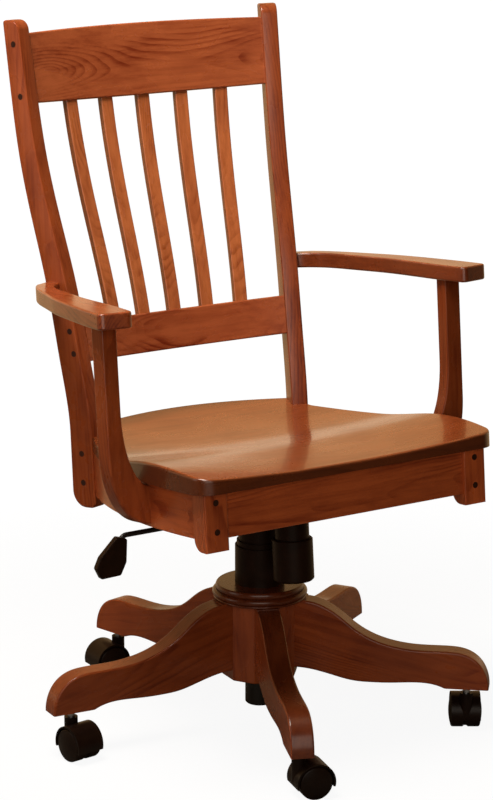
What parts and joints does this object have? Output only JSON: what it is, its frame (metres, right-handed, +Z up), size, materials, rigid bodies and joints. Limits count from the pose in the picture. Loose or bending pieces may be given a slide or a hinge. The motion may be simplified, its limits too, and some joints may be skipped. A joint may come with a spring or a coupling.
{
  "type": "desk chair",
  "caption": "Wooden swivel desk chair with a slatted back, arms, a scooped tilting seat, a gas lift column and a star base of shaped legs on hooded casters.",
  "frame": {"origin": "on the floor under the axis of the lift column", "axes": "+Z up, -Y the way the sitter faces, +X to the sitter's left, which is the viewer's right from the front"},
  "size_m": [0.6832, 0.6926, 1.0514],
  "materials": {
    "cherry_wood": "stained cherry under a satin lacquer",
    "plug_wood": "dark stained face plugs",
    "steel": "bright zinc-plated steel",
    "black_steel": "black powder coat",
    "black_plastic": "black moulded plastic",
    "caster_plastic": "black nylon"
  },
  "bodies": {
    "base": {"base_hub": "cherry_wood", "hub_collar": "cherry_wood", "base_leg_1": "cherry_wood", "base_leg_2": "cherry_wood", "base_leg_3": "cherry_wood", "base_leg_4": "cherry_wood", "base_leg_5": "cherry_wood", "leg_dowels": "cherry_wood", "base_tube": "black_steel", "guide_bush": "black_plastic", "cover_lower": "black_plastic", "caster_sockets": "black_steel", "caster_stems": "steel"},
    "column_rod": {"piston_rod": "steel"},
    "lift": {"gas_cylinder": "black_steel", "tilt_housing": "black_steel", "cover_upper": "black_plastic"},
    "cover_slider": {"cover_middle": "black_plastic"},
    "lever": {"lever_rod": "black_steel", "lever_paddle": "black_plastic"},
    "valve": {"valve_button": "black_plastic"},
    "seat": {"seat_panel": "cherry_wood", "front_apron": "cherry_wood", "rear_apron": "cherry_wood", "side_apron_left": "cherry_wood", "side_apron_right": "cherry_wood", "front_leg_left": "cherry_wood", "front_leg_right": "cherry_wood", "back_post_left": "cherry_wood", "back_post_right": "cherry_wood", "crest_rail": "cherry_wood", "lower_back_rail": "cherry_wood", "back_slat_1": "cherry_wood", "back_slat_2": "cherry_wood", "back_slat_3": "cherry_wood", "back_slat_4": "cherry_wood", "back_slat_5": "cherry_wood", "arm_left": "cherry_wood", "arm_right": "cherry_wood", "arm_support_left": "cherry_wood", "arm_support_right": "cherry_wood", "screw_plugs": "plug_wood", "frame_screws": "steel", "seat_plate": "black_steel", "seat_plate_bolts": "steel", "tilt_pivot_pin": "steel", "tension_bolt": "steel", "tension_spring": "steel"},
    "knob": {"tension_knob": "black_plastic"},
    "caster_1": {"caster_hood_1": "caster_plastic"},
    "wheels_1": {"caster_wheels_1": "caster_plastic"},
    "caster_2": {"caster_hood_2": "caster_plastic"},
    "wheels_2": {"caster_wheels_2": "caster_plastic"},
    "caster_3": {"caster_hood_3": "caster_plastic"},
    "wheels_3": {"caster_wheels_3": "caster_plastic"},
    "caster_4": {"caster_hood_4": "caster_plastic"},
    "wheels_4": {"caster_wheels_4": "caster_plastic"},
    "caster_5": {"caster_hood_5": "caster_plastic"},
    "wheels_5": {"caster_wheels_5": "caster_plastic"}
  },
  "joints": [
    {"name": "seat_swivel", "type": "hinge", "parent": "base", "child": "column_rod", "pos_m": [0, 0, 0.2], "axis": [0, 0, 1], "continuous": true},
    {"name": "seat_height", "type": "slide", "parent": "column_rod", "child": "lift", "axis": [0, 0, 1], "range_m": [0, 0.075]},
    {"name": "cover_slide", "type": "slide", "parent": "column_rod", "child": "cover_slider", "axis": [0, 0, 1], "range_m": [0, 0.0375]},
    {"name": "lever_lift", "type": "hinge", "parent": "lift", "child": "lever", "pos_m": [-0.03, 0, 0.4081], "axis": [0, 1, 0], "range_deg": [0, 4], "stiffness_Nm_per_rad": 2, "springref_deg": -8.59},
    {"name": "valve_press", "type": "slide", "parent": "lift", "child": "valve", "axis": [0, 0, -1], "range_m": [0, 0.0022]},
    {"name": "seat_tilt", "type": "hinge", "parent": "lift", "child": "seat", "pos_m": [0, -0.02527, 0.40511], "axis": [-1, 0, 0], "range_deg": [0, 12], "stiffness_Nm_per_rad": 120, "springref_deg": -11.46, "deforming": ["tension_spring"]},
    {"name": "knob_turn", "type": "hinge", "parent": "seat", "child": "knob", "pos_m": [0, -0.08717, 0.31717], "axis": [0, 0.0872, 0.9962], "continuous": true},
    {"name": "caster_swivel_1", "type": "hinge", "parent": "base", "child": "caster_1", "pos_m": [-0.12338, -0.28983, 0.055], "axis": [0, 0, 1], "continuous": true},
    {"name": "wheel_spin_1", "type": "hinge", "parent": "caster_1", "child": "wheels_1", "pos_m": [-0.10394, -0.2945, 0.025], "axis": [-0.2334, -0.9724, 0], "continuous": true},
    {"name": "caster_swivel_2", "type": "hinge", "parent": "base", "child": "caster_2", "pos_m": [0.23752, -0.20691, 0.055], "axis": [0, 0, 1], "continuous": true},
    {"name": "wheel_spin_2", "type": "hinge", "parent": "caster_2", "child": "wheels_2", "pos_m": [0.24838, -0.19012, 0.025], "axis": [0.8396, -0.5432, 0], "continuous": true},
    {"name": "caster_swivel_3", "type": "hinge", "parent": "base", "child": "caster_3", "pos_m": [0.27018, 0.16195, 0.055], "axis": [0, 0, 1], "continuous": true},
    {"name": "wheel_spin_3", "type": "hinge", "parent": "caster_3", "child": "wheels_3", "pos_m": [0.25048, 0.15848, 0.025], "axis": [-0.1736, 0.9848, 0], "continuous": true},
    {"name": "caster_swivel_4", "type": "hinge", "parent": "base", "child": "caster_4", "pos_m": [-0.07054, 0.307, 0.055], "axis": [0, 0, 1], "continuous": true},
    {"name": "wheel_spin_4", "type": "hinge", "parent": "caster_4", "child": "wheels_4", "pos_m": [-0.09054, 0.30735, 0.025], "axis": [0.0175, 0.9998, 0], "continuous": true},
    {"name": "caster_swivel_5", "type": "hinge", "parent": "base", "child": "caster_5", "pos_m": [-0.31377, 0.02778, 0.055], "axis": [0, 0, 1], "continuous": true},
    {"name": "wheel_spin_5", "type": "hinge", "parent": "caster_5", "child": "wheels_5", "pos_m": [-0.31133, 0.00793, 0.025], "axis": [-0.9925, -0.1219, 0], "continuous": true}
  ],
  "couplings": [
    {"joint": "cover_slide", "follows": "seat_height", "ratio": 0.5},
    {"joint": "valve_press", "follows": "lever_lift", "m_per_rad": 0.0315}
  ]
}
